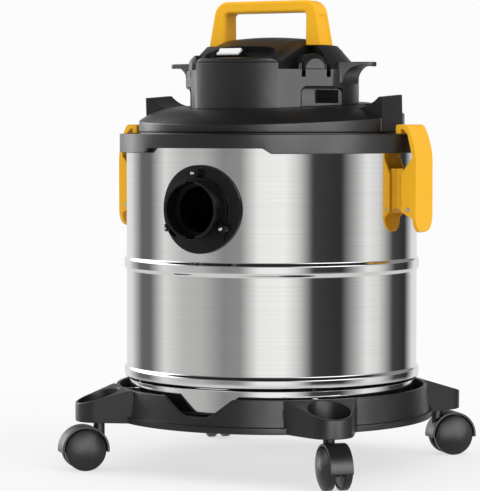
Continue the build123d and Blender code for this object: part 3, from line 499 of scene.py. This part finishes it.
# inner and hidden pieces keep their CAD form and take their own finishes
innerFinishes = {
    "tank_floor": "steel", "inlet_gasket": "rubber", "inlet_elbow": "black", "lid_seal": "rubber",
    "motor_plate": "black", "plate_screws": "bright", "handle_screws": "bright", "fan_shroud": "aluminium",
    "motor_can": "paint", "motor_bearings": "bright", "motor_shaft": "bright", "impeller": "aluminium",
    "cooling_fan": "black", "filter_cage": "black", "filter_top_cap": "rubber",
    "filter_bottom_cap": "rubber", "filter_pleats": "paper", "filter_retainer": "black", "float_cup": "float",
}
for corner in corners:
    innerFinishes[f"caster_stem_{corner}"] = "darkSteel"
    innerFinishes[f"caster_axle_{corner}"] = "bright"
for node, finish in innerFinishes.items():
    for materialSlot in frame["nodes"][node].material_slots:
        materialSlot.material = finishes[finish]
print("inner pieces finished:", len(innerFinishes))

# floor, light and camera
studio = {"floorRadius": 40.0, "floorCount": 96, "floorLevel": 0.86, "floorRough": 0.9, "floorGlow": 0.68,
          "skyLevel": 0.86, "paleLevel": 0.97, "keyEnergy": 0.8, "keyTurn": 78.0, "keyTilt": 38.0,
          "fillEnergy": 0.65, "fillTurn": -72.0, "fillTilt": 36.0, "softness": 50.0,
          "upperLevel": 2.4, "overLevel": 0.02, "underLevel": 0.7,
          # levels of the pale screens, each with its turn from the camera in degrees
          "screens": [(-146, 0.8), (-124, 0.14), (-110, 0.14), (-92, 0.8), (-74, 0.55), (-56, 0.5),
                      (-38, 0.27), (-24, 0.3), (-10, 0.95), (10, 1.0), (20, 0.7), (32, 0.05), (56, 0.03),
                      (70, 0.5), (80, 0.9), (92, 0.75), (110, 0.06), (130, 0.03), (146, 0.8)],
          "upperScreens": [(-165, 0.09), (-140, 1.0), (-95, 1.0), (-72, 0.12), (-35, 0.1), (15, 0.14),
                           (36, 0.85), (66, 0.85), (88, 0.15), (155, 0.09)],
          "underEdge": (-0.35, -0.16), "upperEdge": (0.16, 0.26), "overEdge": (0.58, 0.70)}
sheens = {"sheenFront": {"turn": 38.0, "tilt": 9.0, "softness": 40.0, "energy": 1.9},
          "sheenRight": {"turn": 75.0, "tilt": 9.0, "softness": 44.0, "energy": 2.4},
          "sheenLeft": {"turn": -101.0, "tilt": 10.0, "softness": 34.0, "energy": 1.1}}
camera = {"azimuth": 27.5, "distance": 2.381, "height": 0.352, "focalPixels": 2300.0, "imageHeight": 491.0,
          "imageWidth": 480.0, "axisColumn": 271.7, "horizonRow": 123.0, "film": 36.0,
          "near": 0.05, "far": 200.0}


def grey(level):
    return (level, level, level, 1.0)


def makeFloor(plan):
    clearSelection()
    bpy.ops.mesh.primitive_circle_add(vertices=plan["floorCount"], radius=plan["floorRadius"],
                                      fill_type="NGON", location=(0, 0, 0))
    floor = bpy.context.object
    floor.name = "studioFloor"
    material = bpy.data.materials.new("paleFloor")
    material.use_nodes = True
    tree = material.node_tree
    surface = tree.nodes["Principled BSDF"]
    surface.inputs["Base Color"].default_value = grey(plan["floorLevel"])
    surface.inputs["Roughness"].default_value = plan["floorRough"]
    surface.inputs["Specular IOR Level"].default_value = 0.0
    glow = tree.nodes.new("ShaderNodeEmission")
    glow.inputs["Color"].default_value = grey(plan["paleLevel"])
    path = tree.nodes.new("ShaderNodeLightPath")
    share = tree.nodes.new("ShaderNodeMixShader")
    seen = addMath(tree, "MULTIPLY", path.outputs["Is Camera Ray"], plan["floorGlow"])
    tree.links.new(seen, share.inputs["Fac"])
    tree.links.new(surface.outputs["BSDF"], share.inputs[1])
    tree.links.new(glow.outputs["Emission"], share.inputs[2])
    tree.links.new(share.outputs["Shader"], tree.nodes["Material Output"].inputs["Surface"])
    floor.data.materials.append(material)
    floor.visible_glossy = False


def addSun(name, energy, turn, tilt, softness):
    lamp = bpy.data.lights.new(name, "SUN")
    lamp.energy = energy
    lamp.angle = math.radians(softness)
    light = bpy.data.objects.new(name, lamp)
    bpy.context.collection.objects.link(light)
    light.rotation_euler = (math.radians(90 - tilt), 0, math.radians(turn))
    light.visible_glossy = False
    return light


def addSheens(plans, finishNames):
    # soft lamps that give gloss to the dark mouldings alone, and no light to their colour
    dark = bpy.data.collections.new("darkMouldings")
    names = {finishes[name].name for name in finishNames}
    for piece in bpy.context.scene.objects:
        if any(slot.material and slot.material.name in names for slot in piece.material_slots):
            dark.objects.link(piece)
    for name, plan in plans.items():
        lamp = addSun(name, plan["energy"], plan["turn"], plan["tilt"], plan["softness"])
        lamp.visible_glossy = True
        lamp.visible_diffuse = False
        lamp.light_linking.receiver_collection = dark


def addScreens(tree, turn, screens, azimuth):
    # levels set out by their turn from the camera, read off the turn round the upright axis
    ramp = tree.nodes.new("ShaderNodeValToRGB")
    tree.links.new(turn, ramp.inputs["Fac"])
    stops = sorted((((azimuth + 90.0 + angle) / 360.0) % 1.0, level) for angle, level in screens)
    elements = ramp.color_ramp.elements
    for element, (place, level) in zip(elements, (stops[0], stops[-1])):
        element.position, element.color = place, grey(level)
    for place, level in stops[1:-1]:
        elements.new(place).color = grey(level)
    return ramp.outputs["Color"]


def makeWorld(plan, azimuth):
    # soft even light; shiny surfaces see tall pale screens with dim gaps between them
    world = bpy.data.worlds.new("studio")
    bpy.context.scene.world = world
    world.use_nodes = True
    tree = world.node_tree
    tree.nodes.clear()
    where = tree.nodes.new("ShaderNodeTexCoord")
    sweep = tree.nodes.new("ShaderNodeTexGradient")
    sweep.gradient_type = "RADIAL"
    tree.links.new(where.outputs["Generated"], sweep.inputs["Vector"])
    split = tree.nodes.new("ShaderNodeSeparateXYZ")
    tree.links.new(where.outputs["Generated"], split.inputs[0])
    height = split.outputs["Z"]
    level = addScreens(tree, sweep.outputs["Fac"], plan["screens"], azimuth)
    upper = addScreens(tree, sweep.outputs["Fac"], plan["upperScreens"], azimuth)
    upper = addMix(tree, 1.0, upper, grey(plan["upperLevel"]), "MULTIPLY")
    under, over = grey(plan["underLevel"]), grey(plan["overLevel"])
    shiny = addMix(tree, addRange(tree, height, *plan["underEdge"], 0.0, 1.0), under, level)
    shiny = addMix(tree, addRange(tree, height, *plan["upperEdge"], 0.0, 1.0), shiny, upper)
    shiny = addMix(tree, addRange(tree, height, *plan["overEdge"], 0.0, 1.0), shiny, over)
    path = tree.nodes.new("ShaderNodeLightPath")
    plain = addMix(tree, path.outputs["Is Glossy Ray"], grey(plan["skyLevel"]), shiny)
    seen = addMix(tree, path.outputs["Is Camera Ray"], plain, grey(plan["paleLevel"]))
    sky = tree.nodes.new("ShaderNodeBackground")
    tree.links.new(seen, sky.inputs["Color"])
    end = tree.nodes.new("ShaderNodeOutputWorld")
    tree.links.new(sky.outputs[0], end.inputs["Surface"])


def makeCamera(plan):
    lens = bpy.data.cameras.new("photoCamera")
    lens.sensor_width = plan["film"]
    lens.lens = plan["focalPixels"] / plan["imageHeight"] * plan["film"]
    lens.clip_start, lens.clip_end = plan["near"], plan["far"]
    eye = bpy.data.objects.new("photoCamera", lens)
    bpy.context.collection.objects.link(eye)
    turn = math.radians(plan["azimuth"])
    away = plan["distance"]
    eye.location = (away * math.sin(turn), -away * math.cos(turn), plan["height"])
    pitch = math.atan((plan["imageHeight"] / 2 - plan["horizonRow"]) / plan["focalPixels"])
    yaw = math.atan((plan["axisColumn"] - plan["imageWidth"] / 2) / plan["focalPixels"])
    eye.rotation_euler = (math.pi / 2 - pitch, 0, turn + yaw)
    bpy.context.scene.camera = eye


makeFloor(studio)
for lampName in ("key", "fill"):
    level, turn, tilt = (studio[lampName + part] for part in ("Energy", "Turn", "Tilt"))
    addSun(lampName + "Screen", level, turn, tilt, studio["softness"])
addSheens(sheens, ("charcoal", "baseCharcoal", "lidCharcoal", "wheel"))
makeWorld(studio, camera["azimuth"])
makeCamera(camera)
bpy.context.scene.view_settings.view_transform = "Standard"
print("studio set")
